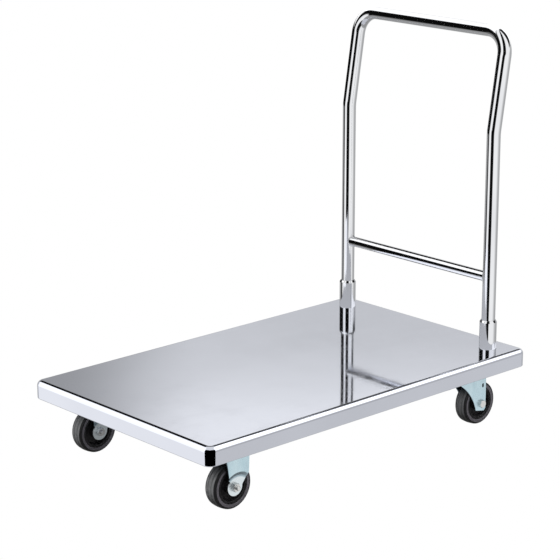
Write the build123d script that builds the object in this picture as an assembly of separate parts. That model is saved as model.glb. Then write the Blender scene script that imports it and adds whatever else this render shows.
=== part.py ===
from build123d import *

# A polished stainless platform trolley: a one-piece sheet deck on under-deck channels, a bent tube push
# handle that lifts out of two sockets, two rigid casters at the front and two swivel casters below the handle.
# Millimetres. +X runs along the deck towards the handle, +Y across it, +Z up. The origin is on the floor
# under the middle of the deck. "left" is +Y and "right" is -Y.

import os
from math import cos, radians, tan

# Deck
DECK_LENGTH = 978.0
DECK_WIDTH = 596.0
DECK_TOP = 176.5
SKIRT_DEPTH = 42.0
SHEET = 1.5
EDGE_ROLL = 12.0
CORNER_RADIUS = 20.0
LIP_WIDTH = 14.0

# Under-deck frame
RAIL_Y = 228.0
RAIL_WIDTH = 92.0
RAIL_LENGTH = 942.0
RAIL_SHEET = 2.0
CROSS_X = (-300.0, 0.0, 280.0)
CROSS_WIDTH = 50.0
CROSS_DEPTH = 26.0

# Push handle
TUBE_OD = 32.0
TUBE_WALL = 1.5
UPRIGHT_X = 426.0
UPRIGHT_Y = 232.0
BEND_HEIGHT = 510.0
GRIP_HEIGHT = 735.0
LEAN_DEGREES = 9.3
BEND_RADIUS = 90.0
CORNER_BEND_RADIUS = 54.0
CROSSBAR_OD = 24.0
CROSSBAR_HEIGHT = 170.0
PLUG_HEAD = 3.0
PLUG_LENGTH = 22.0

# Handle sockets
SOCKET_OD = 40.3
SOCKET_HEIGHT = 69.0
SOCKET_CONE = 3.2
SOCKET_CONE_HEIGHT = 5.0
SLIP = 0.3
SEAT_SHEET = 4.0
SEAT_DRAIN_RADIUS = 6.0

# Wheels
WHEEL_RADIUS = 51.5
WHEEL_WIDTH = 33.0
TYRE_INNER_RADIUS = 38.5
TREAD_CROWN = 1.0
SHOULDER_RADIUS = 4.5
GROOVE_OFFSETS = (-5.0, 5.0)
GROOVE_RADIUS = 1.1
HUB_RADIUS = 14.0
HUB_WIDTH = 36.0
CORE_WEB = 9.0
CORE_RIM_WIDTH = 30.0
CORE_RIM_WALL = 5.5
BUSHING_OD = 14.0
BUSHING_LENGTH = 36.4

# Axle bolts, M10
AXLE_RADIUS = 5.0
RUNNING_GAP = 0.08
HEX_FLATS = 17.0
AXLE_HEAD_HEIGHT = 6.4
AXLE_NUT_HEIGHT = 8.0
AXLE_TIP = 6.0

# Caster mounting
PLATE_LENGTH = 105.0
PLATE_WIDTH = 85.0
PLATE_SHEET = 3.0
PLATE_CORNER = 6.0
BOLT_SPACING_X = 80.0
BOLT_SPACING_Y = 60.0
BOLT_RADIUS = 4.0
BOLT_HOLE_RADIUS = 4.25
BOLT_FLATS = 13.0
BOLT_HEAD_HEIGHT = 5.3
BOLT_NUT_HEIGHT = 6.5
BOLT_TIP = 2.0

# Rigid casters
RIGID_AXLE_X = -378.0
RIGID_PLATE_OFFSET = 9.0
FORK_SHEET = 2.5
RIGID_LEG_UPPER = 25.0
RIGID_LEG_LOWER = 21.5
RIGID_LEG_REAR = -26.5
RIGID_LEG_FRONT = 41.5
RIGID_EYE_RADIUS = 20.0
STEP_CENTRE = (8.0, -15.0)
STEP_INNER_RADIUS = 39.5
STEP_OUTER_RADIUS = 47.0
WING_START = 27.0
RIGID_WING_DEGREES = 9.0
SIDE_HOLE = (-16.0, 13.0)
SIDE_HOLE_RADIUS = 3.0
LEG_REACH = 150.0

# Swivel casters
KINGPIN_X = 360.0
SWIVEL_TRAIL = 30.0
SWIVEL_CREASE = 8.0
SWIVEL_LEG = 21.5
CROWN_TOP = 122.5
CROWN_SHEET = 3.5
CROWN_FRONT = 40.0
CROWN_REAR = 44.0
RACE_RADIUS = 20.0
RACE_BOSS_RADIUS = 27.0
RACE_BOSS_DEPTH = 4.0
RACE_CUP_RADIUS = 28.5
RACE_CUP_WALL = 2.5
RACE_CUP_GAP = 0.6
BALL_RADIUS = 3.0
BALL_COUNT = 14
BALL_GAP = 0.3
KINGPIN_RADIUS = 6.0
KINGPIN_HEAD_RADIUS = 10.0
KINGPIN_HEAD_HEIGHT = 5.0
KINGPIN_HEAD_GAP = 0.4
WING_DEGREES = 7.0

# Worked out from the dimensions above
DECK_BOTTOM = DECK_TOP - SKIRT_DEPTH
PAN_CEILING = DECK_TOP - SHEET
PLATE_TOP = DECK_BOTTOM - 1.0
RAIL_BOTTOM = PLATE_TOP
RAIL_INNER_FLOOR = RAIL_BOTTOM + RAIL_SHEET
SEAT_TOP = RAIL_INNER_FLOOR + SEAT_SHEET
TUBE_BOTTOM = SEAT_TOP + PLUG_HEAD + SLIP
SWIVEL_AXLE_X = KINGPIN_X + SWIVEL_TRAIL
RIGID_PLATE_X = RIGID_AXLE_X + RIGID_PLATE_OFFSET
GRIP_LEAN = (GRIP_HEIGHT - BEND_HEIGHT) * tan(radians(LEAN_DEGREES))
SIDES = (("left", 1), ("right", -1))
CASTERS = (("rigid", RIGID_PLATE_X), ("swivel", KINGPIN_X))


def box_between(low, high):
    """A box from its lowest to its highest corner."""
    size = [h - l for l, h in zip(low, high)]
    middle = [(h + l) / 2 for l, h in zip(low, high)]
    return Pos(*middle) * Box(*size)


def rod(radius, low, high):
    """A round bar along Z."""
    return Pos(0, 0, (low + high) / 2) * Cylinder(radius, high - low)


def along_y(shape):
    """Turns a shape built along +Z so that it runs along -Y."""
    return Rot(90, 0, 0) * shape


def hexagon(flats, low, high, bore=0.0):
    """A bolt head or nut along Z, with its outer corners turned off at both ends."""
    corner = flats / 2 / cos(radians(30))
    body = Pos(0, 0, low) * extrude(RegularPolygon(corner, 6), high - low)
    turned = chamfer(rod(corner, low, high).edges().filter_by(GeomType.CIRCLE), corner - flats / 2)
    body &= turned
    return body - rod(bore, low, high) if bore else body


def pan_block(inset, top, bottom):
    """The deck's rounded block, inset from the outside by a distance."""
    block = box_between(
        (-DECK_LENGTH / 2 + inset, -DECK_WIDTH / 2 + inset, bottom),
        (DECK_LENGTH / 2 - inset, DECK_WIDTH / 2 - inset, top),
    )
    block = fillet(block.edges().filter_by(Axis.Z), CORNER_RADIUS - inset)
    return fillet(block.faces().sort_by(Axis.Z)[-1].edges(), EDGE_ROLL - inset)


def deck_pan():
    """Sheet pan: flat top, rolled edge, skirt, and a narrow lip turned in at the bottom."""
    outer = pan_block(0, DECK_TOP, DECK_BOTTOM)
    inner = pan_block(SHEET, PAN_CEILING, DECK_BOTTOM + SHEET)
    mouth = box_between(
        (-DECK_LENGTH / 2 + LIP_WIDTH, -DECK_WIDTH / 2 + LIP_WIDTH, DECK_BOTTOM - 1),
        (DECK_LENGTH / 2 - LIP_WIDTH, DECK_WIDTH / 2 - LIP_WIDTH, DECK_BOTTOM + 2 * SHEET),
    )
    pan = outer - inner - mouth
    for _, side in SIDES:
        pan -= Pos(UPRIGHT_X, side * UPRIGHT_Y, 0) * rod(SOCKET_OD / 2, PAN_CEILING - 1, DECK_TOP + 1)
    return pan


def rail():
    """Long channel, open at the top against the deck, with holes for two casters."""
    outline = box_between(
        (-RAIL_LENGTH / 2, -RAIL_WIDTH / 2, RAIL_BOTTOM), (RAIL_LENGTH / 2, RAIL_WIDTH / 2, PAN_CEILING)
    )
    lower = outline.edges().filter_by(Axis.X).group_by(Axis.Z)[0]
    outline = fillet(lower, 2 * RAIL_SHEET)
    hollow = box_between(
        (-RAIL_LENGTH / 2 - 1, -RAIL_WIDTH / 2 + RAIL_SHEET, RAIL_INNER_FLOOR),
        (RAIL_LENGTH / 2 + 1, RAIL_WIDTH / 2 - RAIL_SHEET, PAN_CEILING + 1),
    )
    hollow = fillet(hollow.edges().filter_by(Axis.X).group_by(Axis.Z)[0], RAIL_SHEET)
    channel = outline - hollow
    for _, x in CASTERS:
        hole = rod(BOLT_HOLE_RADIUS, RAIL_BOTTOM - 1, RAIL_INNER_FLOOR + 1)
        channel -= bolt_grid(Pos(x, 0, 0) * hole)
    return channel


def cross_member():
    """Short channel between the rails, open at the top against the deck."""
    half = RAIL_Y - RAIL_WIDTH / 2
    outline = box_between(
        (-CROSS_WIDTH / 2, -half, PAN_CEILING - CROSS_DEPTH), (CROSS_WIDTH / 2, half, PAN_CEILING)
    )
    outline = fillet(outline.edges().filter_by(Axis.Y).group_by(Axis.Z)[0], 2 * RAIL_SHEET)
    hollow = box_between(
        (-CROSS_WIDTH / 2 + RAIL_SHEET, -half - 1, PAN_CEILING - CROSS_DEPTH + RAIL_SHEET),
        (CROSS_WIDTH / 2 - RAIL_SHEET, half + 1, PAN_CEILING + 1),
    )
    return outline - fillet(hollow.edges().filter_by(Axis.Y).group_by(Axis.Z)[0], RAIL_SHEET)


def bolt_grid(shape):
    """The shape at the four bolt places of one caster plate."""
    places = GridLocations(BOLT_SPACING_X, BOLT_SPACING_Y, 2, 2)
    return [place * shape for place in places]


def handle_socket():
    """Sleeve through the deck sheet, with its top edge turned down to a small cone."""
    top = DECK_TOP + SOCKET_HEIGHT
    bore, outside = TUBE_OD / 2 + SLIP, SOCKET_OD / 2
    section = Polyline(
        (bore, 0, SEAT_TOP),
        (outside, 0, SEAT_TOP),
        (outside, 0, top - SOCKET_CONE_HEIGHT),
        (outside - SOCKET_CONE, 0, top),
        (bore, 0, top),
        close=True,
    )
    return revolve(make_face(section), Axis.Z)


def socket_seat():
    """Square plate on the rail's floor under the socket, with a drain hole."""
    half = SOCKET_OD / 2
    plate = box_between((-half, -half, RAIL_INNER_FLOOR), (half, half, SEAT_TOP))
    plate = fillet(plate.edges().filter_by(Axis.Z), 3)
    return plate - rod(SEAT_DRAIN_RADIUS, RAIL_INNER_FLOOR - 1, SEAT_TOP + 1)


def handle_tube():
    """Bent tube: two uprights, an outward lean above the bends, and the grip across the top."""
    bend_z = DECK_TOP + BEND_HEIGHT
    grip_z = DECK_TOP + GRIP_HEIGHT
    grip_x = UPRIGHT_X + GRIP_LEAN
    path = FilletPolyline(
        (UPRIGHT_X, -UPRIGHT_Y, TUBE_BOTTOM),
        (UPRIGHT_X, -UPRIGHT_Y, bend_z),
        (grip_x, -UPRIGHT_Y, grip_z),
        (grip_x, UPRIGHT_Y, grip_z),
        (UPRIGHT_X, UPRIGHT_Y, bend_z),
        (UPRIGHT_X, UPRIGHT_Y, TUBE_BOTTOM),
        radius=[BEND_RADIUS, CORNER_BEND_RADIUS, CORNER_BEND_RADIUS, BEND_RADIUS],
    )
    start = Plane(origin=path @ 0, z_dir=path % 0)
    ring = start * (Circle(TUBE_OD / 2) - Circle(TUBE_OD / 2 - TUBE_WALL))
    return sweep(ring, path=path)


def handle_crossbar():
    """Thin tube coped to the two uprights."""
    half = UPRIGHT_Y
    bar = along_y(rod(CROSSBAR_OD / 2, -half, half) - rod(CROSSBAR_OD / 2 - TUBE_WALL, -half - 1, half + 1))
    bar = Pos(UPRIGHT_X, 0, DECK_TOP + CROSSBAR_HEIGHT) * bar
    for _, side in SIDES:
        bar -= Pos(UPRIGHT_X, side * UPRIGHT_Y, 0) * rod(TUBE_OD / 2, DECK_TOP, DECK_TOP + BEND_HEIGHT / 2)
    return bar


def end_plug():
    """Plastic plug: a flange under the tube's end and a spigot inside it."""
    flange = rod(TUBE_OD / 2, TUBE_BOTTOM - PLUG_HEAD, TUBE_BOTTOM)
    flange = chamfer(flange.edges().filter_by(GeomType.CIRCLE).sort_by(Axis.Z)[0], 1)
    return flange + rod(TUBE_OD / 2 - TUBE_WALL, TUBE_BOTTOM, TUBE_BOTTOM + PLUG_LENGTH)


def ring_of(points):
    """A ring about the wheel's axis, which is Y through the origin, from (radius, y) points."""
    section = make_face(Polyline([(r, y, 0) for r, y in points], close=True))
    return revolve(section, Axis.Y)


def tyre():
    """Tyre ring with a crowned tread, round shoulders and two shallow grooves."""
    half = WHEEL_WIDTH / 2
    edge = WHEEL_RADIUS - TREAD_CROWN
    with BuildSketch() as section:
        with BuildLine():
            ThreePointArc((edge, -half), (WHEEL_RADIUS, 0), (edge, half))
            Polyline((edge, half), (TYRE_INNER_RADIUS, half), (TYRE_INNER_RADIUS, -half), (edge, -half))
        make_face()
        outer = section.vertices().filter_by(lambda v: v.X > TYRE_INNER_RADIUS + 1)
        fillet(outer, SHOULDER_RADIUS)
        inner = section.vertices().filter_by(lambda v: v.X < TYRE_INNER_RADIUS + 1)
        chamfer(inner, 0.8)
        with Locations(*[(WHEEL_RADIUS, y) for y in GROOVE_OFFSETS]):
            Circle(GROOVE_RADIUS, mode=Mode.SUBTRACT)
    return revolve(section.sketch, Axis.Y)


def core():
    """Plastic wheel centre: rim, dished web and hub, bored for the bushing."""
    rim, hub, web = CORE_RIM_WIDTH / 2, HUB_WIDTH / 2, CORE_WEB / 2
    rim_inner = TYRE_INNER_RADIUS - CORE_RIM_WALL
    bore = BUSHING_OD / 2
    half = [
        (bore, hub),
        (HUB_RADIUS - 1, hub),
        (HUB_RADIUS, hub - 1),
        (HUB_RADIUS + 3, web),
        (rim_inner - 3, web),
        (rim_inner, rim - 1),
        (rim_inner + 1, rim),
        (TYRE_INNER_RADIUS, rim),
    ]
    return ring_of(half + [(r, -y) for r, y in reversed(half)])


def bushing():
    """Steel sleeve between wheel centre and axle bolt."""
    half = BUSHING_LENGTH / 2
    return along_y(rod(BUSHING_OD / 2, -half, half) - rod(AXLE_RADIUS + RUNNING_GAP, -half - 1, half + 1))


def axle_bolt(grip, head_first):
    """Hex bolt along Y through a fork. Its head is at the -Y side if head_first, else at the +Y side."""
    length = grip + AXLE_NUT_HEIGHT + AXLE_TIP
    shank = rod(AXLE_RADIUS, -length, grip)
    shank = chamfer(shank.edges().filter_by(GeomType.CIRCLE).sort_by(Axis.Z)[0], 1)
    bolt = along_y(shank + hexagon(HEX_FLATS, grip, grip + AXLE_HEAD_HEIGHT))
    return bolt if head_first else Rot(0, 0, 180) * bolt


def axle_nut(grip, head_first):
    """Hex nut on the axle bolt's far end."""
    nut = along_y(hexagon(HEX_FLATS, -grip - AXLE_NUT_HEIGHT, -grip, bore=AXLE_RADIUS))
    return nut if head_first else Rot(0, 0, 180) * nut


def top_plate():
    """Caster top plate with rounded corners and four bolt holes."""
    plate = box_between(
        (-PLATE_LENGTH / 2, -PLATE_WIDTH / 2, PLATE_TOP - PLATE_SHEET),
        (PLATE_LENGTH / 2, PLATE_WIDTH / 2, PLATE_TOP),
    )
    plate = fillet(plate.edges().filter_by(Axis.Z), PLATE_CORNER)
    return plate - bolt_grid(rod(BOLT_HOLE_RADIUS, PLATE_TOP - PLATE_SHEET - 1, PLATE_TOP + 1))


def rigid_bulk(depth):
    """All that lies between the wheel's middle plane and a leg's face, less a depth: stepped along an arc about
    a point below the axle, and turned inward along its front strip."""
    low, high = RIGID_LEG_LOWER - depth, RIGID_LEG_UPPER - depth
    stepped = ring_of(
        [
            (0, 0),
            (0, low),
            (STEP_INNER_RADIUS, low),
            (STEP_OUTER_RADIUS, high),
            (LEG_REACH, high),
            (LEG_REACH, 0),
        ]
    )
    drop = (LEG_REACH - WING_START) * tan(radians(RIGID_WING_DEGREES))
    plan = make_face(
        Polyline(
            (-LEG_REACH, 0), (-LEG_REACH, high), (WING_START, high), (LEG_REACH, high - drop), (LEG_REACH, 0), close=True
        )
    )
    prism = Pos(0, 0, -LEG_REACH) * extrude(plan, 2 * LEG_REACH)
    return (Pos(STEP_CENTRE[0], 0, STEP_CENTRE[1]) * stepped) & prism


def rigid_leg():
    """One leg, at +Y of the wheel: a broad upper face stepped in to the axle eye."""
    top = PLATE_TOP - PLATE_SHEET / 2 - WHEEL_RADIUS
    eye = RIGID_EYE_RADIUS
    outline = make_face(
        Polyline(
            (RIGID_LEG_REAR, top),
            (-eye + 4.5, 10),
            (-eye + 1, 1),
            (0, -eye / 2),
            (eye, 0),
            (RIGID_LEG_FRONT - 3, eye + 5),
            (RIGID_LEG_FRONT, top),
            close=True,
        )
    )
    outline = outline + Pos(1, 0, 0) * Circle(eye)
    side = along_y(Pos(0, 0, -RIGID_LEG_UPPER - 1) * extrude(outline, RIGID_LEG_UPPER + 2))
    skin = rigid_bulk(0) - rigid_bulk(FORK_SHEET)
    hole = along_y(Pos(*SIDE_HOLE, 0) * rod(SIDE_HOLE_RADIUS, -RIGID_LEG_UPPER - 1, 0))
    return (side & skin) - hole


def rigid_fork():
    """Rigid caster fork in the wheel's own place: top plate and two legs, one pressing."""
    leg = rigid_leg()
    fork = Pos(RIGID_PLATE_OFFSET, 0, -WHEEL_RADIUS) * top_plate() + leg + mirror(leg, Plane.XZ)
    grip = RIGID_LEG_LOWER + 1
    return fork - along_y(rod(AXLE_RADIUS, -grip, grip))


def swivel_plate():
    """Top plate with a boss below it that holds the upper ball race, bored for the kingpin."""
    boss_top = PLATE_TOP - PLATE_SHEET
    boss = rod(RACE_BOSS_RADIUS, boss_top - RACE_BOSS_DEPTH, boss_top)
    boss = fillet(boss.edges().filter_by(GeomType.CIRCLE).sort_by(Axis.Z)[0], 1.5)
    plate = top_plate() + boss
    plate -= rod(KINGPIN_RADIUS, boss_top - RACE_BOSS_DEPTH - 1, PLATE_TOP + 1)
    return plate - Pos(0, 0, ball_height()) * Torus(RACE_RADIUS, BALL_RADIUS + BALL_GAP)


def ball_height():
    """Height of the balls' centres, midway between the boss and the fork's crown."""
    return (PLATE_TOP - PLATE_SHEET - RACE_BOSS_DEPTH + CROWN_TOP) / 2


def ball_race():
    """Ring of steel balls."""
    ball = Sphere(BALL_RADIUS)
    places = PolarLocations(RACE_RADIUS, BALL_COUNT)
    return Compound([Pos(0, 0, ball_height()) * (place * ball) for place in places])


def kingpin():
    """Pin from the top plate through the fork's crown, with a broad head under the crown."""
    head_top = CROWN_TOP - CROWN_SHEET - KINGPIN_HEAD_GAP
    head = rod(KINGPIN_HEAD_RADIUS, head_top - KINGPIN_HEAD_HEIGHT, head_top)
    head = fillet(head.edges().filter_by(GeomType.CIRCLE).sort_by(Axis.Z)[0], 2)
    return head + rod(KINGPIN_RADIUS, head_top, PLATE_TOP)


def swivel_skin():
    """Plan of one leg, at +Y: straight beside the wheel, then turned inward towards the front."""
    crease = SWIVEL_CREASE
    front = -CROWN_FRONT - 6
    drop = (crease - front) * tan(radians(WING_DEGREES))
    outer, inner = SWIVEL_LEG, SWIVEL_LEG - FORK_SHEET
    rear = SWIVEL_TRAIL + 30
    plan = make_face(
        Polyline(
            (front, outer - drop),
            (crease, outer),
            (rear, outer),
            (rear, inner),
            (crease, inner),
            (front, inner - drop),
            close=True,
        )
    )
    return extrude(plan, CROWN_TOP)


def swivel_side():
    """Side outline of a leg: a broad top, a hollow front edge, and a narrow foot round the axle."""
    axle_x, axle_z = SWIVEL_TRAIL, WHEEL_RADIUS
    rear = axle_x + 14.5
    foot_front, foot_z = axle_x - 19, axle_z - 13
    with BuildSketch(Plane.XZ) as sketch:
        with BuildLine():
            Polyline(
                (-CROWN_FRONT, CROWN_TOP - 12),
                (-CROWN_FRONT, CROWN_TOP),
                (rear, CROWN_TOP),
                (rear, foot_z),
                (rear - 6, foot_z - 6),
                (foot_front, foot_z),
            )
            ThreePointArc(
                (foot_front, foot_z),
                (axle_x - 36, axle_z + 26),
                (-CROWN_FRONT, CROWN_TOP - 12),
            )
        make_face()
    reach = SWIVEL_LEG + 5
    return extrude(sketch.sketch, reach, both=True)


def swivel_fork():
    """Swivel caster fork about its kingpin at the origin: crown with ball race and two legs."""
    leg = swivel_skin() & swivel_side()
    slot = Pos(SWIVEL_TRAIL + 4, 0, WHEEL_RADIUS + 44) * Rot(90, 0, 0) * SlotOverall(10, 5.5, rotation=90)
    leg -= extrude(slot, SWIVEL_LEG + 5, both=True)
    crown = extrude(Pos(0, 0, CROWN_TOP - CROWN_SHEET) * crown_plan(), CROWN_SHEET)
    cup_top = PLATE_TOP - PLATE_SHEET - RACE_BOSS_DEPTH - RACE_CUP_GAP
    cup_floor = CROWN_TOP - CROWN_SHEET
    crown += rod(RACE_CUP_RADIUS, cup_floor, cup_top) - rod(RACE_CUP_RADIUS - RACE_CUP_WALL, cup_floor, cup_top)
    fork = crown + leg + mirror(leg, Plane.XZ)
    fork -= Pos(0, 0, ball_height()) * Torus(RACE_RADIUS, BALL_RADIUS + BALL_GAP)
    fork -= rod(KINGPIN_RADIUS + RUNNING_GAP, CROWN_TOP - CROWN_SHEET - 1, CROWN_TOP + 1)
    grip = SWIVEL_LEG + 1
    return fork - Pos(SWIVEL_TRAIL, 0, WHEEL_RADIUS) * along_y(rod(AXLE_RADIUS, -grip, grip))


def crown_plan():
    """Plan of the crown: as wide as the legs, narrowing to the front like them."""
    crease = SWIVEL_CREASE
    drop = (crease + CROWN_FRONT) * tan(radians(WING_DEGREES))
    half = SWIVEL_LEG
    corners = [
        (-CROWN_FRONT, half - drop),
        (crease, half),
        (CROWN_REAR, half),
        (CROWN_REAR, -half),
        (crease, -half),
        (-CROWN_FRONT, drop - half),
    ]
    crown = make_face(Polyline(corners, close=True))
    return crown + Circle(RACE_CUP_RADIUS)


def caster_bolt():
    """Mounting bolt: head below the top plate, shank up through plate and rail."""
    low = PLATE_TOP - PLATE_SHEET
    top = RAIL_INNER_FLOOR + BOLT_NUT_HEIGHT + BOLT_TIP
    shank = rod(BOLT_RADIUS, low, top)
    shank = chamfer(shank.edges().filter_by(GeomType.CIRCLE).sort_by(Axis.Z)[-1], 0.8)
    return shank + hexagon(BOLT_FLATS, low - BOLT_HEAD_HEIGHT, low)


def caster_nut():
    """Nut on the rail's floor."""
    return hexagon(BOLT_FLATS, RAIL_INNER_FLOOR, RAIL_INNER_FLOOR + BOLT_NUT_HEIGHT, bore=BOLT_RADIUS)


def at_each_caster_hole(shape):
    """The shape at all sixteen bolt places, as one group."""
    placed = []
    for _, x in CASTERS:
        for _, side in SIDES:
            placed += [Pos(x, side * RAIL_Y, 0) * copy for copy in bolt_grid(shape)]
    return Compound(placed)


def wheel_nodes(nodes, name, x, y):
    """The three pieces of one wheel at its axle."""
    place = Pos(x, y, WHEEL_RADIUS)
    nodes[f"tyre_{name}"] = place * tyre()
    nodes[f"core_{name}"] = place * core()
    nodes[f"bushing_{name}"] = place * bushing()


def build():
    """Every node of the trolley, by name, in its place."""
    nodes = {"deck_pan": deck_pan()}
    for where, x in zip(("front", "middle", "rear"), CROSS_X):
        nodes[f"cross_member_{where}"] = Pos(x, 0, 0) * cross_member()
    nodes["handle_tube"] = handle_tube()
    nodes["handle_crossbar"] = handle_crossbar()
    nodes["caster_bolts"] = at_each_caster_hole(caster_bolt())
    nodes["caster_nuts"] = at_each_caster_hole(caster_nut())
    rigid_grip, swivel_grip = RIGID_LEG_LOWER, SWIVEL_LEG
    for name, side in SIDES:
        y = side * RAIL_Y
        nodes[f"rail_{name}"] = Pos(0, y, 0) * rail()
        at_socket = Pos(UPRIGHT_X, side * UPRIGHT_Y, 0)
        nodes[f"handle_socket_{name}"] = at_socket * handle_socket()
        nodes[f"socket_seat_{name}"] = at_socket * socket_seat()
        nodes[f"end_plug_{name}"] = at_socket * end_plug()

        rigid = Pos(RIGID_AXLE_X, y, WHEEL_RADIUS)
        nodes[f"rigid_fork_{name}"] = rigid * rigid_fork()
        nodes[f"rigid_axle_bolt_{name}"] = rigid * axle_bolt(rigid_grip, head_first=False)
        nodes[f"rigid_axle_nut_{name}"] = rigid * axle_nut(rigid_grip, head_first=False)
        wheel_nodes(nodes, f"front_{name}", RIGID_AXLE_X, y)

        swivel = Pos(KINGPIN_X, y, 0)
        axle = Pos(SWIVEL_AXLE_X, y, WHEEL_RADIUS)
        nodes[f"swivel_plate_{name}"] = swivel * swivel_plate()
        nodes[f"kingpin_{name}"] = swivel * kingpin()
        nodes[f"ball_race_{name}"] = swivel * ball_race()
        nodes[f"swivel_fork_{name}"] = swivel * swivel_fork()
        nodes[f"swivel_axle_bolt_{name}"] = axle * axle_bolt(swivel_grip, head_first=True)
        nodes[f"swivel_axle_nut_{name}"] = axle * axle_nut(swivel_grip, head_first=True)
        wheel_nodes(nodes, f"rear_{name}", SWIVEL_AXLE_X, y)
    return nodes


os.makedirs("parts", exist_ok=True)
for node, shape in build().items():
    export_step(shape, f"parts/{node}.step")
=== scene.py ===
from math import atan2, cos, pi, radians, sin, sqrt, tan

import bmesh
import bpy
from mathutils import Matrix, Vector


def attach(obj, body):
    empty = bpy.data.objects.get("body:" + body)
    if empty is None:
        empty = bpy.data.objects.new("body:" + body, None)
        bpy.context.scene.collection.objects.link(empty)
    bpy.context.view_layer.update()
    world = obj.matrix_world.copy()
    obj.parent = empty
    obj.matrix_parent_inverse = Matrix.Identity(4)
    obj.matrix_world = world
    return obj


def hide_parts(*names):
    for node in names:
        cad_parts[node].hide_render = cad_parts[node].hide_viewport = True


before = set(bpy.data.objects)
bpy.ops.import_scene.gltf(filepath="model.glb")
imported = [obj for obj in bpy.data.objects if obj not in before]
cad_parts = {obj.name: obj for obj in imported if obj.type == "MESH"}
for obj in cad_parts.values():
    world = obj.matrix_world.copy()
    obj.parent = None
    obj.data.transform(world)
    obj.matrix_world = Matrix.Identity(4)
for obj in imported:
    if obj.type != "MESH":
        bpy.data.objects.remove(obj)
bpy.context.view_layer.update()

MM = 0.001

# The trolley's sizes in millimetres, as in the CAD part
DECK_LENGTH, DECK_WIDTH, DECK_TOP, DECK_BOTTOM = 978.0, 596.0, 176.5, 134.5
SHEET, EDGE_ROLL, CORNER_RADIUS, LIP = 1.5, 12.0, 20.0, 14.0
UPRIGHT_X, UPRIGHT_Y = 426.0, 232.0
TUBE_RADIUS, TUBE_BORE, TUBE_BOTTOM = 16.0, 14.5, 142.8
BEND_Z, GRIP_Z, LEAN_DEGREES = 686.5, 911.5, 9.3
BEND_RADIUS, CORNER_BEND_RADIUS = 90.0, 54.0
CROSSBAR_RADIUS, CROSSBAR_BORE, CROSSBAR_Z = 12.0, 10.5, 346.5
SOCKET_RADIUS, SOCKET_BORE, SOCKET_LOW, SOCKET_TOP = 20.15, 16.3, 139.5, 245.5
SOCKET_CONE, SOCKET_CONE_HEIGHT = 3.2, 5.0
WHEEL_RADIUS, WHEEL_HALF, TYRE_INNER = 51.5, 16.5, 38.5
BUSHING_RADIUS, HUB_RADIUS, HUB_HALF = 7.0, 14.0, 18.0
RIM_HALF, RIM_INNER, WEB_HALF = 15.0, 33.0, 4.5
SIDE_RING_INNER, SIDE_RING_OUTER = 39.4, 45.6
GROOVES, GROOVE_DEPTH, GROOVE_HALF = (-5.0, 5.0), 1.0, 1.3
WHEEL_Y = 228.0
WHEELS = {
    "front_left": (-378.0, WHEEL_Y),
    "front_right": (-378.0, -WHEEL_Y),
    "rear_left": (390.0, WHEEL_Y),
    "rear_right": (390.0, -WHEEL_Y),
}
SIDES = (("left", 1), ("right", -1))


# ---------------------------------------------------------------- mesh helpers


def rounded(points, radii, steps=6):
    """A closed 2D outline with each corner turned to an arc of its radius."""
    out = []
    count = len(points)
    for i, (point, radius) in enumerate(zip(points, radii)):
        here = Vector(point)
        if not radius:
            out.append(tuple(here))
            continue
        back = (Vector(points[i - 1]) - here).normalized()
        ahead = (Vector(points[(i + 1) % count]) - here).normalized()
        half = back.angle(ahead) / 2
        centre = here + (back + ahead).normalized() * (radius / sin(half))
        start = here + back * (radius / tan(half)) - centre
        end = here + ahead * (radius / tan(half)) - centre
        turn = atan2(start.x * end.y - start.y * end.x, start.dot(end))
        first = atan2(start.y, start.x)
        for k in range(steps + 1):
            angle = first + turn * k / steps
            out.append((centre.x + radius * cos(angle), centre.y + radius * sin(angle)))
    return out


def loft(bm, rings, loop=False):
    """Quads between successive rings of vertices, each ring closed."""
    pairs = list(zip(rings, rings[1:]))
    if loop:
        pairs.append((rings[-1], rings[0]))
    for low, high in pairs:
        for i in range(len(low)):
            j = (i + 1) % len(low)
            bm.faces.new((low[i], low[j], high[j], high[i]))


def ring(bm, points):
    """Vertices at points given in millimetres."""
    return [bm.verts.new(Vector(p) * MM) for p in points]


def piece(name, bm, body, material, replaces=(), sharp=32):
    """Makes the object, and says what it rides on, stands for and is made of."""
    bmesh.ops.recalc_face_normals(bm, faces=bm.faces)
    mesh = bpy.data.meshes.new(name)
    bm.to_mesh(mesh)
    bm.free()
    mesh.shade_smooth()
    mesh.set_sharp_from_angle(angle=radians(sharp))
    mesh.materials.append(material)
    made = bpy.data.objects.new(name, mesh)
    bpy.context.scene.collection.objects.link(made)
    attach(made, body)
    for node in replaces:
        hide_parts(node)
    return made


def lathe(bm, profile, centre, axis, steps=96):
    """A closed (radius, height) outline turned about an axis through a centre."""
    rings = []
    for r, h in profile:
        turned = []
        for i in range(steps):
            a = 2 * pi * i / steps
            across = (r * cos(a), r * sin(a))
            local = (across[0], across[1], h) if axis == "Z" else (across[0], h, across[1])
            turned.append([c + l for c, l in zip(centre, local)])
        rings.append(ring(bm, turned))
    loft(bm, rings, loop=True)


def sweep(bm, path, sections, closed=False):
    """Rings of 2D sections carried along a path without twist."""
    count = len(path)
    tangents = []
    for i in range(count):
        before = path[i - 1] if i or closed else path[i]
        after = path[(i + 1) % count] if i < count - 1 or closed else path[i]
        tangents.append((after - before).normalized())
    side = Vector((0, 1, 0)) if abs(tangents[0].y) < 0.9 else Vector((0, 0, 1))
    side = (side - tangents[0] * side.dot(tangents[0])).normalized()
    rings = []
    for point, tangent, section in zip(path, tangents, sections):
        side = (side - tangent * side.dot(tangent)).normalized()
        other = tangent.cross(side)
        rings.append(ring(bm, [point + side * a + other * b for a, b in section]))
    return rings


def circle(radius, steps):
    return [(radius * cos(2 * pi * i / steps), radius * sin(2 * pi * i / steps)) for i in range(steps)]


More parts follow.
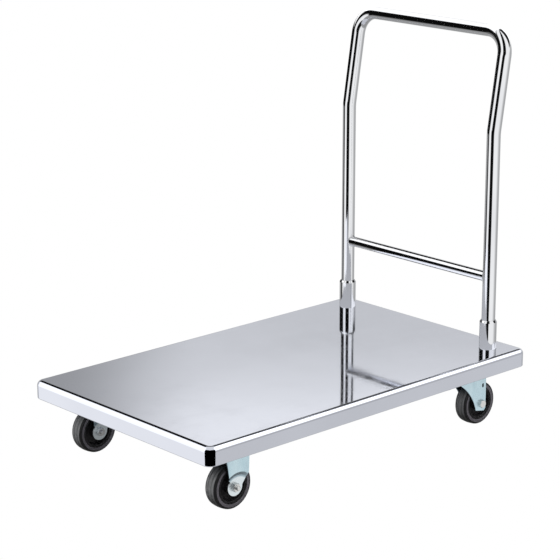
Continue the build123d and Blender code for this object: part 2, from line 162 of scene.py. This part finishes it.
def filleted(points, radii, steps):
    """A 3D run of straight lines with its corners turned to arcs."""
    path = [Vector(points[0])]
    for i, radius in enumerate(radii, 1):
        here = Vector(points[i])
        into = (here - Vector(points[i - 1])).normalized()
        away = (Vector(points[i + 1]) - here).normalized()
        angle = into.angle(away)
        inward = (away - into * away.dot(into)).normalized()
        start = here - into * radius * tan(angle / 2)
        for k in range(steps + 1):
            a = angle * k / steps
            path.append(start + into * radius * sin(a) + inward * radius * (1 - cos(a)))
    path.append(Vector(points[-1]))
    return path


# ---------------------------------------------------------------- materials


class Nodes:
    """Makes nodes in a tree, and links or sets their inputs."""

    def __init__(self, tree):
        self.tree = tree

    def node(self, kind, inputs=(), **settings):
        made = self.tree.nodes.new(kind)
        for key, value in settings.items():
            setattr(made, key, value)
        for key, value in dict(inputs).items():
            if isinstance(value, bpy.types.NodeSocket):
                self.tree.links.new(value, made.inputs[key])
            else:
                made.inputs[key].default_value = value
        return made

    def math(self, operation, a, b=0.0):
        return self.node("ShaderNodeMath", {0: a, 1: b}, operation=operation).outputs[0]

    def span(self, value, low, high, to_low=0.0, to_high=1.0, kind="LINEAR"):
        inputs = {"Value": value, "From Min": low, "From Max": high, "To Min": to_low, "To Max": to_high}
        return self.node("ShaderNodeMapRange", inputs, interpolation_type=kind).outputs[0]

    def step(self, value, low, high, to_low=0.0, to_high=1.0):
        """A span with its two ends eased."""
        return self.span(value, low, high, to_low, to_high, kind="SMOOTHSTEP")


class Finish(Nodes):
    """A node material built up around one Principled shader."""

    def __init__(self, name, **constants):
        self.material = bpy.data.materials.new(name)
        self.material.use_nodes = True
        super().__init__(self.material.node_tree)
        self.shader = self.tree.nodes["Principled BSDF"]
        self.place = self.tree.nodes.new("ShaderNodeTexCoord").outputs["Object"]
        self.normal = None
        for key, value in constants.items():
            self.shader.inputs[key.replace("_", " ")].default_value = value

    def noise(self, scale, detail=3.0, stretch=(1, 1, 1), rough=0.5, distort=0.0):
        place = self.place
        if stretch != (1, 1, 1):
            place = self.node("ShaderNodeMapping", {"Vector": place, "Scale": stretch}).outputs[0]
        inputs = {"Vector": place, "Scale": scale, "Detail": detail}
        inputs.update({"Roughness": rough, "Distortion": distort})
        return self.node("ShaderNodeTexNoise", inputs).outputs["Fac"]

    def shade(self, colour, reach, darkest):
        """Painted shade: the colour made darker where other surfaces are closer than the reach."""
        around = self.node("ShaderNodeAmbientOcclusion", {"Distance": reach * MM}, samples=8)
        keep = self.span(around.outputs["AO"], 0.3, 0.9, darkest, 1.0)
        inputs = {0: 1.0, 6: colour, 7: self.grey(keep)}
        return self.node("ShaderNodeMix", inputs, data_type="RGBA", blend_type="MULTIPLY").outputs[2]

    def grey(self, value):
        return self.node("ShaderNodeCombineColor", {0: value, 1: value, 2: value}).outputs[0]

    def blend(self, factor, a, b):
        return self.node("ShaderNodeMix", {0: factor, 6: a, 7: b}, data_type="RGBA").outputs[2]

    def bump(self, height, strength, depth):
        inputs = {"Height": height, "Strength": strength, "Distance": depth * MM}
        if self.normal:
            inputs["Normal"] = self.normal
        self.normal = self.node("ShaderNodeBump", inputs).outputs[0]
        self.tree.links.new(self.normal, self.shader.inputs["Normal"])

    def to(self, key, value):
        self.tree.links.new(value, self.shader.inputs[key])
        return self


def rgb(r, g, b):
    return (r, g, b, 1.0)


def polished_sheet():
    """Mirror polished stainless sheet: long faint waves, fine lengthwise scratches and hand marks."""
    f = Finish("polished_sheet", Metallic=1.0)
    tone = f.span(f.noise(3.0, 2.0), 0.3, 0.7)
    f.to("Base Color", f.blend(tone, rgb(0.765, 0.786, 0.858), rgb(0.82, 0.842, 0.919)))
    marks = f.span(f.noise(14.0, 5.0, rough=0.62), 0.42, 0.75, 0.0, 0.05)
    brushed = f.span(f.noise(9.0, 6.0, stretch=(1.5, 60, 60)), 0.3, 0.75, 0.03, 0.075)
    f.to("Roughness", f.math("ADD", marks, brushed))
    f.bump(f.noise(2.2, 1.0), 0.5, 1.6)
    f.bump(f.noise(12.0, 4.0, stretch=(2, 90, 90)), 0.06, 0.05)
    return f.material


def polished_tube():
    """Bright polished tube with faint lengthwise draw marks."""
    f = Finish("polished_tube", Metallic=1.0)
    tone = f.span(f.noise(5.0, 2.0), 0.3, 0.7)
    f.to("Base Color", f.blend(tone, rgb(0.80, 0.805, 0.82), rgb(0.87, 0.875, 0.88)))
    marks = f.span(f.noise(22.0, 5.0, rough=0.6), 0.45, 0.8, 0.0, 0.05)
    drawn = f.span(f.noise(12.0, 4.0, stretch=(30, 30, 1.5)), 0.3, 0.8, 0.035, 0.07)
    f.to("Roughness", f.math("ADD", marks, drawn))
    f.bump(f.noise(30.0, 2.0, stretch=(1, 1, 0.12)), 0.05, 0.08)
    return f.material


# Centre, and inner and outer edges in metres, of the painted highlight inside the fork's step and the painted
# shade band round it
STEP_CENTRE = (-0.370, 0, 0.0365)
STEP_INNER, STEP_OUTER = (0.0345, 0.0375), (0.0455, 0.0475)
ZINC_LOW, ZINC_HIGH = (0.52, 0.69, 0.76, 1.0), (0.64, 0.80, 0.86, 1.0)


def zinc(name, low, high, rough=0.3, step=None):
    """Bright blue zinc plate: soft upright clouds, fine matt specks, stains. Round the step, if there is one,
    the plate has a band of painted shade, and inside it a painted highlight makes it pale."""
    f = Finish(name, Metallic=1.0)
    cloud = f.span(f.noise(46.0, 3.0, stretch=(1, 1, 0.2), rough=0.5), 0.3, 0.72)
    tone = f.blend(cloud, low, high)
    if step:
        flat = f.node("ShaderNodeVectorMath", {0: f.place, 1: (1, 0, 1)}, operation="MULTIPLY").outputs[0]
        out = f.node("ShaderNodeVectorMath", {0: flat, 1: step}, operation="DISTANCE").outputs["Value"]
        # Painted shade: a grey band round the step, between its inner and outer edges.
        step_shade = f.math("MULTIPLY", f.span(out, *STEP_INNER), f.span(out, *reversed(STEP_OUTER)))
        # Painted highlight: the plate made pale inside the step.
        tone = f.blend(f.span(out, *reversed(STEP_INNER)), tone, rgb(0.78, 0.85, 0.88))
        tone = f.blend(step_shade, tone, rgb(0.36, 0.45, 0.50))
    f.to("Base Color", tone)
    specks = f.span(f.noise(420.0, 2.0), 0.35, 0.7, -0.02, 0.03)
    soft = f.span(f.noise(45.0, 3.0), 0.3, 0.7, rough - 0.04, rough + 0.05)
    f.to("Roughness", f.math("ADD", soft, specks))
    f.bump(f.noise(60.0, 2.0, stretch=(1, 1, 0.3)), 0.10, 0.2)
    f.bump(f.noise(900.0, 2.0), 0.04, 0.02)
    return f.material


def mill_steel():
    """Folded channel sheet as it leaves the mill, with lengthwise rolling marks."""
    f = Finish("mill_steel", Metallic=1.0)
    cloud = f.span(f.noise(18.0, 4.0, rough=0.6), 0.3, 0.7)
    f.to("Base Color", f.blend(cloud, rgb(0.50, 0.51, 0.53), rgb(0.63, 0.64, 0.66)))
    rolled = f.noise(16.0, 6.0, stretch=(2, 70, 70))
    f.to("Roughness", f.span(rolled, 0.3, 0.7, 0.30, 0.46))
    f.bump(rolled, 0.12, 0.08)
    return f.material


def tyre_rubber(name, low, high, worn):
    """Thermoplastic tyre: cloudy tone, fine mould grain and scuffs, with painted shade darkening it where
    other surfaces are near.
    """
    f = Finish(name, Specular_IOR_Level=0.45)
    grain = f.span(f.noise(140.0, 5.0, rough=0.65), 0.3, 0.7)
    scuffs = f.span(f.noise(60.0, 6.0, rough=0.7, distort=0.6), 0.52, 0.72, 0.0, 0.55)
    # Painted shade: the tyre colour is darkened where other surfaces lie within 110 mm, under the deck and
    # between the fork legs.
    f.to("Base Color", f.shade(f.blend(scuffs, f.blend(grain, low, high), worn), 110.0, 0.03))
    f.to("Roughness", f.span(f.noise(80.0, 4.0), 0.3, 0.7, 0.38, 0.55))
    f.bump(f.noise(1100.0, 3.0), 0.25, 0.06)
    f.bump(f.noise(150.0, 4.0), 0.2, 0.12)
    return f.material


def moulded_plastic(name):
    """Black moulded plastic with a fine spark-eroded grain."""
    f = Finish(name, Specular_IOR_Level=0.35)
    grain = f.span(f.noise(200.0, 4.0), 0.3, 0.7)
    f.to("Base Color", f.blend(grain, rgb(0.008, 0.008, 0.009), rgb(0.016, 0.015, 0.017)))
    f.to("Roughness", f.span(f.noise(70.0, 4.0), 0.3, 0.7, 0.38, 0.55))
    f.bump(f.noise(1500.0, 2.0), 0.2, 0.04)
    return f.material


def bearing_steel():
    """Ground balls with a light film of grease."""
    f = Finish("bearing_steel", Metallic=1.0)
    film = f.span(f.noise(300.0, 3.0), 0.35, 0.65)
    f.to("Base Color", f.blend(film, rgb(0.62, 0.60, 0.55), rgb(0.74, 0.74, 0.75)))
    f.to("Roughness", f.span(film, 0.0, 1.0, 0.22, 0.08))
    f.bump(f.noise(600.0, 2.0), 0.04, 0.02)
    return f.material


DECK_METAL = polished_sheet()
TUBE_METAL = polished_tube()
PRESSING = zinc("zinc_pressing", ZINC_LOW, ZINC_HIGH, 0.28)
# Fork plating with the painted shade band and painted highlight round its step
STEPPED = zinc("zinc_stepped", ZINC_LOW, ZINC_HIGH, 0.28, step=STEP_CENTRE)
FASTENER = zinc("zinc_fastener", rgb(0.60, 0.61, 0.62), rgb(0.76, 0.76, 0.74), 0.22)
FRAME_STEEL = mill_steel()
TYRE_TREAD = tyre_rubber("tyre_tread", rgb(0.27, 0.275, 0.28), rgb(0.38, 0.385, 0.39), rgb(0.52, 0.52, 0.52))
TYRE_SHOULDER = tyre_rubber(
    "tyre_shoulder", rgb(0.008, 0.008, 0.009), rgb(0.016, 0.015, 0.018), rgb(0.03, 0.03, 0.03)
)
TYRE_SIDE = tyre_rubber("tyre_side", rgb(0.21, 0.195, 0.225), rgb(0.28, 0.262, 0.295), rgb(0.34, 0.325, 0.35))
WHEEL_PLASTIC = moulded_plastic("wheel_plastic")
PLUG_PLASTIC = moulded_plastic("plug_plastic")
BEARING = bearing_steel()


# ---------------------------------------------------------------- deck


def deck_plan(inset, steps=18):
    """The deck's rounded outline at a distance in from its edge."""
    radius = CORNER_RADIUS - inset
    out = []
    for quarter, (sx, sy) in enumerate(((1, 1), (-1, 1), (-1, -1), (1, -1))):
        cx, cy = sx * (DECK_LENGTH / 2 - CORNER_RADIUS), sy * (DECK_WIDTH / 2 - CORNER_RADIUS)
        for k in range(steps + 1):
            a = radians(90 * (quarter + k / steps))
            out.append((cx + radius * cos(a), cy + radius * sin(a)))
    return out


def deck_profile():
    """(inset, height) down the outside of the rolled edge, round the lip and up the inside."""
    spring, steps, bend = DECK_TOP - EDGE_ROLL, 14, 3.0
    outside = [radians(90 * k / steps) for k in range(steps + 1)]
    out = [(EDGE_ROLL + 2, DECK_TOP), (EDGE_ROLL + 0.6, DECK_TOP)]
    out += [(EDGE_ROLL * (1 - sin(a)), spring + EDGE_ROLL * cos(a)) for a in outside]
    under = [radians(90 * k / 5) for k in range(6)]
    out += [(bend * (1 - cos(a)), DECK_BOTTOM + bend * (1 - sin(a))) for a in under]
    out += [(LIP - 0.4, DECK_BOTTOM), (LIP, DECK_BOTTOM + 0.4), (LIP, DECK_BOTTOM + SHEET - 0.3)]
    out += [(LIP - 0.3, DECK_BOTTOM + SHEET)]
    inner = bend - SHEET
    out += [(bend - inner * cos(a), DECK_BOTTOM + bend - inner * sin(a)) for a in reversed(under)]
    roll = EDGE_ROLL - SHEET
    out += [(EDGE_ROLL - roll * sin(a), spring + roll * cos(a)) for a in reversed(outside)]
    out += [(EDGE_ROLL + 2, DECK_TOP - SHEET)]
    return out


def deck_sheet():
    bm = bmesh.new()
    rings = [ring(bm, [(x, y, z) for x, y in deck_plan(inset)]) for inset, z in deck_profile()]
    loft(bm, rings)
    tops, floors = [rings[0]], [rings[-1]]
    for _, side in SIDES:
        hole = []
        for radius, z in (
            (SOCKET_RADIUS + 1.5, DECK_TOP),
            (SOCKET_RADIUS + 0.45, DECK_TOP),
            (SOCKET_RADIUS + 0.2, DECK_TOP - 0.12),
            (SOCKET_RADIUS + 0.05, DECK_TOP - 0.4),
            (SOCKET_RADIUS + 0.05, DECK_TOP - SHEET),
        ):
            points = [(UPRIGHT_X + a, side * UPRIGHT_Y + b, z) for a, b in circle(radius, 72)]
            hole.append(ring(bm, points))
        loft(bm, hole)
        tops.append(hole[0])
        floors.append(hole[-1])
    for loops in (tops, floors):
        edges = [bm.edges.get((r[i], r[(i + 1) % len(r)])) for r in loops for i in range(len(r))]
        bmesh.ops.triangle_fill(bm, use_beauty=True, use_dissolve=False, edges=edges)
    return piece("deck_sheet", bm, "deck", DECK_METAL, ["deck_pan"], sharp=50)


sheet = deck_sheet()


# ---------------------------------------------------------------- handle


def socket(name, side):
    top = SOCKET_TOP
    outline = [
        (SOCKET_BORE, SOCKET_LOW),
        (SOCKET_RADIUS, SOCKET_LOW),
        (SOCKET_RADIUS, top - SOCKET_CONE_HEIGHT),
        (SOCKET_RADIUS - SOCKET_CONE, top),
        (SOCKET_BORE, top),
    ]
    bm = bmesh.new()
    profile = rounded(outline, [0, 0.3, 1.6, 0.25, 0.2])
    lathe(bm, profile, (UPRIGHT_X, side * UPRIGHT_Y, 0), "Z")
    replaced = [f"handle_socket_{name}"]
    return piece(f"socket_{name}", bm, "deck", TUBE_METAL, replaced, sharp=60)


def handle_bar():
    """One bent tube. Its bends are swept round, though on a real bent tube they are a little oval."""
    lean = (GRIP_Z - BEND_Z) * tan(radians(LEAN_DEGREES))
    x, y, gx = UPRIGHT_X, UPRIGHT_Y, UPRIGHT_X + lean
    corners = [(x, -y, TUBE_BOTTOM), (x, -y, BEND_Z), (gx, -y, GRIP_Z)]
    corners += [(a, -b, c) for a, b, c in reversed(corners)]
    radii = [BEND_RADIUS, CORNER_BEND_RADIUS, CORNER_BEND_RADIUS, BEND_RADIUS]
    path = filleted(corners, radii, 28)
    bm = bmesh.new()
    steps = 72
    outer = sweep(bm, path, [circle(TUBE_RADIUS, steps)] * len(path))
    inner = sweep(bm, path, [circle(TUBE_BORE, steps)] * len(path))
    loft(bm, outer + list(reversed(inner)), loop=True)
    return piece("handle_bar", bm, "handle", TUBE_METAL, ["handle_tube"], sharp=60)


def saddle(radius, angle):
    """How far along Y a point of the crossbar's skin meets the upright."""
    return UPRIGHT_Y - sqrt(TUBE_RADIUS**2 - (radius * cos(angle)) ** 2)


def crossbar():
    bm = bmesh.new()
    steps = 72
    rings = []
    for radius, side in (
        (CROSSBAR_RADIUS, -1), (CROSSBAR_RADIUS, 1), (CROSSBAR_BORE, 1), (CROSSBAR_BORE, -1)
    ):
        points = []
        for i in range(steps):
            a = 2 * pi * i / steps
            y = side * saddle(radius, a)
            points.append((UPRIGHT_X + radius * cos(a), y, CROSSBAR_Z + radius * sin(a)))
        rings.append(ring(bm, points))
    loft(bm, rings, loop=True)
    return piece("crossbar", bm, "handle", TUBE_METAL, ["handle_crossbar"], sharp=40)


def crossbar_weld(name, side):
    """A small dressed weld bead round the end of the crossbar."""
    bm = bmesh.new()
    steps, bead = 120, 1.5
    path = []
    for i in range(steps):
        a = 2 * pi * i / steps
        y = side * (saddle(CROSSBAR_RADIUS, a) - 0.2)
        radius = CROSSBAR_RADIUS + 0.2
        path.append(Vector((UPRIGHT_X + radius * cos(a), y, CROSSBAR_Z + radius * sin(a))))
    sections = [circle(bead * (1 + 0.10 * sin(15 * 2 * pi * i / steps)), 12) for i in range(steps)]
    loft(bm, sweep(bm, path, sections, closed=True), loop=True)
    return piece(f"crossbar_weld_{name}", bm, "handle", TUBE_METAL)


bar = handle_bar()
tubes = [bar, crossbar()]
for name, side in SIDES:
    tubes += [socket(name, side), crossbar_weld(name, side)]


# ---------------------------------------------------------------- wheels


def tyre_profile():
    """(radius, y) of the tyre: crowned tread with two grooves, round shoulders, a raised side ring."""
    half, shoulder, crown = WHEEL_HALF, 4.5, 1.0
    tread_half = half - shoulder
    steps = 48
    tread = []
    for k in range(steps + 1):
        y = -tread_half + 2 * tread_half * k / steps
        r = WHEEL_RADIUS - crown * (y / tread_half) ** 2
        for groove in GROOVES:
            r -= GROOVE_DEPTH * max(0.0, 1 - ((y - groove) / GROOVE_HALF) ** 2) ** 0.5
        tread.append((r, y))
    top = WHEEL_RADIUS - crown
    turn = [radians(90 * k / 10) for k in range(1, 11)]
    right = [(top - shoulder * (1 - cos(a)), tread_half + shoulder * sin(a)) for a in turn]
    right += [(SIDE_RING_OUTER, half), (44.9, half - 0.35), (44.3, half - 0.45), (40.0, half - 0.45)]
    right += [(SIDE_RING_INNER, half - 0.7), (38.8, half - 1.3), (TYRE_INNER, half - 2.2)]
    left = [(r, -y) for r, y in reversed(right)]
    return left + tread + right


def core_profile():
    half = [
        (BUSHING_RADIUS, HUB_HALF),
        (HUB_RADIUS - 3.5, HUB_HALF),
        (HUB_RADIUS, HUB_HALF - 1.5),
        (HUB_RADIUS + 3, WEB_HALF),
        (RIM_INNER - 3, WEB_HALF),
        (RIM_INNER, RIM_HALF - 1),
        (RIM_INNER + 1, RIM_HALF),
        (TYRE_INNER, RIM_HALF),
    ]
    outline = half + [(r, -y) for r, y in reversed(half)]
    bends = [0.4, 1.0, 1.2, 1.5, 1.5, 0.6, 0.5, 0]
    return rounded(outline, bends + bends[::-1], 4)


def wheel(name, x, y):
    body, centre = f"wheel_{name}", (x, y, WHEEL_RADIUS)
    bm = bmesh.new()
    lathe(bm, tyre_profile(), centre, "Y", 160)
    made = piece(f"tyre_ring_{name}", bm, body, TYRE_TREAD, [f"tyre_{name}"], sharp=45)
    made.data.materials.append(TYRE_SHOULDER)
    made.data.materials.append(TYRE_SIDE)
    for face in made.data.polygons:
        middle = face.center / MM - Vector(centre)
        out, across = sqrt(middle.x**2 + middle.z**2), abs(middle.y)
        if SIDE_RING_INNER < out < SIDE_RING_OUTER and across > WHEEL_HALF - 1.5:
            face.material_index = 2
        elif across > WHEEL_HALF - 5.2 or out < SIDE_RING_INNER:
            face.material_index = 1
    bm = bmesh.new()
    lathe(bm, core_profile(), centre, "Y", 128)
    piece(f"wheel_centre_{name}", bm, body, WHEEL_PLASTIC, [f"core_{name}"], sharp=45)


for name, (x, y) in WHEELS.items():
    wheel(name, x, y)


# ---------------------------------------------------------------- CAD nodes that stay

KEPT = (
    (("swivel_fork", "swivel_plate"), PRESSING),
    (("rigid_fork",), STEPPED),
    (("rigid_axle", "swivel_axle", "caster_bolts", "caster_nuts", "kingpin", "bushing"), FASTENER),
    (("rail", "cross_member", "socket_seat"), FRAME_STEEL),
    (("end_plug",), PLUG_PLASTIC),
    (("ball_race",), BEARING),
)
for starts, material in KEPT:
    for name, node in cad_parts.items():
        if name.startswith(starts):
            node.data.materials.clear()
            node.data.materials.append(material)


# ---------------------------------------------------------------- camera, light and floor

CAMERA_AZIMUTH, CAMERA_ELEVATION = 0.823779, 0.277424
CAMERA_DISTANCE, CAMERA_LENS = 5.247244, 129.1204
CAMERA_TARGET = Vector((0.4685, 0.525981, 0.173682))
TOWARDS_CAMERA = Vector(
    (
        -cos(CAMERA_ELEVATION) * cos(CAMERA_AZIMUTH),
        -cos(CAMERA_ELEVATION) * sin(CAMERA_AZIMUTH),
        sin(CAMERA_ELEVATION),
    )
)

lens = bpy.data.cameras.new("camera")
lens.lens = CAMERA_LENS
camera = bpy.data.objects.new("camera", lens)
bpy.context.scene.collection.objects.link(camera)
camera.location = CAMERA_TARGET + TOWARDS_CAMERA * CAMERA_DISTANCE
camera.rotation_euler = (-TOWARDS_CAMERA).to_track_quat("-Z", "Y").to_euler()
bpy.context.scene.camera = camera
bpy.context.scene.view_settings.view_transform = "Standard"

# Level directions from the trolley, towards the camera's side and to the right of it
FRONT = Vector((-0.678, -0.735, 0.0))
RIGHT = Vector((0.735, -0.678, 0.0))

# Greys of the staged reflections
BLACK, BRIGHT = 0.004, 1.3
REAR_EDGE = (132.0, 138.0)
STRIPES = (
    (-180, 0.45), (-125, 0.40), (-112, 0.14), (-101, 0.14), (-99, BLACK), (-87, BLACK),
    (-82, 1.0), (-52, 1.1), (-47, BLACK), (-3, BLACK), (3, 1.0), (60, 1.0),
    (80, 0.70), (95, 0.50), (125, 0.40), (150, 0.70), (180, 0.75),
)


class Sky(Nodes):
    """Grey by direction, for a dome. Angles are in degrees, turned from the side that the camera is on."""

    def __init__(self, tree, direction):
        super().__init__(tree)
        along = self.node("ShaderNodeVectorMath", {0: direction}, operation="NORMALIZE").outputs[0]
        front, right, up = [self.dot(along, v) for v in (FRONT, RIGHT, Vector((0, 0, 1)))]
        self.turn = self.math("DEGREES", self.math("ARCTAN2", right, front))
        self.height = self.math("DEGREES", self.math("ARCSINE", up))
        self.away = self.math("ABSOLUTE", self.turn)

    def dot(self, a, b):
        return self.node("ShaderNodeVectorMath", {0: a, 1: b}, operation="DOT_PRODUCT").outputs["Value"]

    def mix(self, factor, a, b):
        return self.node("ShaderNodeMix", {0: factor, 2: a, 3: b}, data_type="FLOAT").outputs[0]

    def bands(self, angle, stops):
        """Grey values at angles from -180 to 180, with straight blends between them."""
        made = self.node("ShaderNodeValToRGB", {0: self.span(angle, -180.0, 180.0)})
        elements = made.color_ramp.elements
        elements[0].position, elements[1].position = 0.0, 1.0
        elements[0].color = rgb(*[stops[0][1]] * 3)
        elements[1].color = rgb(*[stops[-1][1]] * 3)
        for degrees_at, value in stops[1:-1]:
            elements.new((degrees_at + 180) / 360).color = rgb(*[value] * 3)
        return made.outputs[0]


def cloth_behind(s, value, away, dark_left, dark_right):
    """A pale cloth behind the trolley, brighter higher up and dull at the left, with dark above it."""
    rear_turn = s.math("SUBTRACT", s.math("MODULO", s.math("ADD", s.turn, 360.0), 360.0), 180.0)
    cloth = s.step(s.height, 17.3, 20.8, 0.64, 0.98)
    corner = s.math("MULTIPLY", s.step(rear_turn, 2.0, 7.3), s.step(rear_turn, 60.0, 20.0))
    cloth = s.mix(corner, cloth, 0.36)
    band = s.math("MULTIPLY", s.step(s.height, 2.0, 5.0), s.step(s.height, 23.5, 22.0))
    value = s.mix(s.math("MULTIPLY", s.step(s.away, 140.0, 155.0), band), value, cloth)
    dark = s.mix(s.step(rear_turn, -3.0, 3.0), dark_right, dark_left)
    return s.mix(s.math("MULTIPLY", s.step(away, *REAR_EDGE), s.step(s.height, 22.5, 23.5)), value, dark)


def tube_sky(s):
    """The tubes' stripes: white and grey sheets with black between them, white above, dull below."""
    shifted = s.math("SUBTRACT", s.turn, s.step(s.height, 2.0, 12.0, 0.0, 17.0))
    value = s.bands(shifted, STRIPES)
    level = s.math("MULTIPLY", s.step(s.turn, -82.0, -86.0), s.step(s.height, -8.5, -6.5))
    value = s.mix(level, value, BLACK)
    value = cloth_behind(s, value, s.away, 0.01, 0.10)
    behind, before = s.step(s.away, *REAR_EDGE, 24.0, 50.0), s.step(s.away, 62.0, 76.0, 90.0, 24.0)
    limit = s.math("MAXIMUM", behind, before)
    value = s.mix(s.step(s.math("SUBTRACT", s.height, limit), 0.0, 3.0), value, BRIGHT)
    side = s.math("MULTIPLY", s.step(s.turn, 76.0, 84.0), s.step(s.turn, 142.0, 134.0))
    value = s.mix(s.math("MULTIPLY", side, s.step(s.height, 16.0, 19.0)), value, 0.02)
    return s.mix(s.step(s.height, -30.0, -42.0), value, 0.35)


def deck_sky(s):
    """The deck's soft grey all round, the cloth behind, and a bright sheet over each long roll."""
    away = s.math("ADD", s.away, s.step(s.turn, -20.0, 20.0, 0.0, 9.0))
    value = s.step(s.height, 5.0, 40.0, 0.50, 0.78)
    value = cloth_behind(s, value, away, 0.01, 0.08)
    rolls = s.math("MULTIPLY", s.step(s.away, 70.0, 80.0), s.step(s.height, 62.0, 56.0))
    limit = s.step(away, *REAR_EDGE, 24.0, 50.0)
    above = s.step(s.math("SUBTRACT", s.height, limit), 0.0, 3.0)
    value = s.mix(s.math("MULTIPLY", rolls, above), value, BRIGHT)
    return s.mix(s.step(s.height, 56.0, 64.0), value, 0.80)


def soft_sky(s):
    """Even light for everything that is not polished."""
    return s.step(s.height, 0.0, 40.0, 0.28, 0.95)


def dome(name, radius, value_at, only):
    """A great glowing ball round the studio that glows for the listed pieces alone."""
    bm = bmesh.new()
    bmesh.ops.create_icosphere(bm, subdivisions=4, radius=radius)
    mesh = bpy.data.meshes.new(name)
    bm.to_mesh(mesh)
    bm.free()
    tree = stage_glow(name, mesh, only)
    glow = tree.nodes["Emission"]
    s = Sky(tree, tree.nodes.new("ShaderNodeTexCoord").outputs["Object"])
    value = value_at(s)
    red, green = s.math("MULTIPLY", value, 0.985), s.math("MULTIPLY", value, 0.99)
    tint = s.node("ShaderNodeCombineColor", {0: red, 1: green, 2: value})
    tree.links.new(tint.outputs[0], glow.inputs[0])


def studio_world():
    """White to the camera, soft white for matt surfaces, nothing for mirrors, which see the domes."""
    world = bpy.data.worlds.new("studio")
    world.use_nodes = True
    bpy.context.scene.world = world
    n = Nodes(world.node_tree)
    paths = n.node("ShaderNodeLightPath").outputs
    soft = n.math("MULTIPLY", paths["Is Diffuse Ray"], 0.95)
    back = n.tree.nodes["Background"]
    back.inputs[0].default_value = rgb(1, 1, 1)
    n.tree.links.new(n.math("MAXIMUM", paths["Is Camera Ray"], soft), back.inputs[1])


def stage_glow(name, mesh, only):
    """Stages a mesh that only reflections see. With a list, it glows for those and is clear to others."""
    card = bpy.data.objects.new(name, mesh)
    bpy.context.scene.collection.objects.link(card)
    material = bpy.data.materials.new(name)
    material.use_nodes = True
    material.cycles.emission_sampling = "NONE"
    tree = material.node_tree
    tree.nodes.clear()
    glow = tree.nodes.new("ShaderNodeEmission")
    shader = glow.outputs[0]
    if only:
        clear = tree.nodes.new("ShaderNodeBsdfTransparent")
        both = tree.nodes.new("ShaderNodeAddShader")
        tree.links.new(shader, both.inputs[0])
        tree.links.new(clear.outputs[0], both.inputs[1])
        shader = both.outputs[0]
        lit = bpy.data.collections.new(name)
        for made in only:
            lit.objects.link(made)
        card.light_linking.receiver_collection = lit
    out = tree.nodes.new("ShaderNodeOutputMaterial")
    tree.links.new(shader, out.inputs[0])
    mesh.materials.append(material)
    card.visible_camera = False
    card.visible_diffuse = False
    card.visible_shadow = False
    return tree


def stage_card(name, corners, value, only=()):
    mesh = bpy.data.meshes.new(name)
    mesh.from_pydata([Vector(c) for c in corners], [], [tuple(range(len(corners)))])
    stage_glow(name, mesh, only).nodes["Emission"].inputs[0].default_value = rgb(value, value, value)


def upright_sheet(ends, low, high):
    """Corners of an upright sheet over a line on the floor."""
    return [(x, y, z) for z, row in ((low, ends), (high, ends[::-1])) for x, y in row]


def floor():
    """A plain pale floor: bright where it is seen, dim to light the underside, and never reflected."""
    mesh = bpy.data.meshes.new("floor")
    half = 9.0
    corners = [(-half, -half, 0), (half, -half, 0), (half, half, 0), (-half, half, 0)]
    mesh.from_pydata(corners, [], [(0, 1, 2, 3)])
    made = bpy.data.objects.new("floor", mesh)
    bpy.context.scene.collection.objects.link(made)
    f = Finish("floor", Roughness=0.9)
    grain = f.span(f.noise(3.0, 3.0), 0.3, 0.7)
    f.to("Base Color", f.blend(grain, rgb(0.30, 0.30, 0.31), rgb(0.33, 0.33, 0.33)))
    glow = f.node("ShaderNodeEmission", {0: rgb(1, 1, 1), 1: 1.0})
    seen = f.node("ShaderNodeLightPath").outputs["Is Camera Ray"]
    both = f.node("ShaderNodeMixShader", {0: seen, 1: f.shader.outputs[0], 2: glow.outputs[0]})
    f.tree.links.new(both.outputs[0], f.tree.nodes["Material Output"].inputs[0])
    mesh.materials.append(f.material)
    made.visible_glossy = False


polished = tubes + [sheet]
others = [made for made in bpy.context.scene.objects if made.type == "MESH" and made not in polished]
near_forks = [
    node
    for name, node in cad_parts.items()
    if name.endswith("_right") and ("fork" in name or "axle" in name)
]
studio_world()
floor()
dome("dome_tubes", 60.0, tube_sky, tubes)
dome("dome_deck", 62.0, deck_sky, [sheet])
dome("dome_others", 64.0, soft_sky, others)

# Each card: the line it stands over, its low and high edge, its grey and the pieces it glows for, in metres
LEFT_SIDE = [(-0.74, -0.20), (-0.74, 0.85)]
RIGHT_SIDE = [(-0.40, -0.56), (1.0, -0.56)]
CASTER_SIDE = [(-0.40, -0.53), (1.0, -0.53)]
FAR_RIGHT = [(1.30, -3.30), (3.20, 0.30)]
OVER_GRIP = [(0.15, 0.97), (1.45, -0.23)]
CARDS = {
    "left_low": (LEFT_SIDE, -0.30, 0.085, 0.46, [sheet]),
    "left_high": (LEFT_SIDE, 0.085, 0.42, 0.75, [sheet]),
    "right": (RIGHT_SIDE, -0.40, 0.11, 0.14, [sheet]),
    "casters": (CASTER_SIDE, -0.40, 0.05, 0.60, near_forks),
    "roll": (FAR_RIGHT, 0.95, 5.0, 0.60, [sheet]),
    "grip": (OVER_GRIP, 0.925, 1.9, 1.1, [bar]),
}
for name, (ends, low, high, value, only) in CARDS.items():
    stage_card(f"card_{name}", upright_sheet(ends, low, high), value, only)

# Black cards round the near corner, which make it dark
FLAG = [(-0.5260, -0.2700), (-0.5290, -0.2780), (-0.5120, -0.3200), (-0.4690, -0.3380), (-0.4540, -0.3343)]
for i, ends in enumerate(zip(FLAG, FLAG[1:])):
    stage_card(f"flag_{i}", upright_sheet(ends, 0.10, 0.21), 0.0)
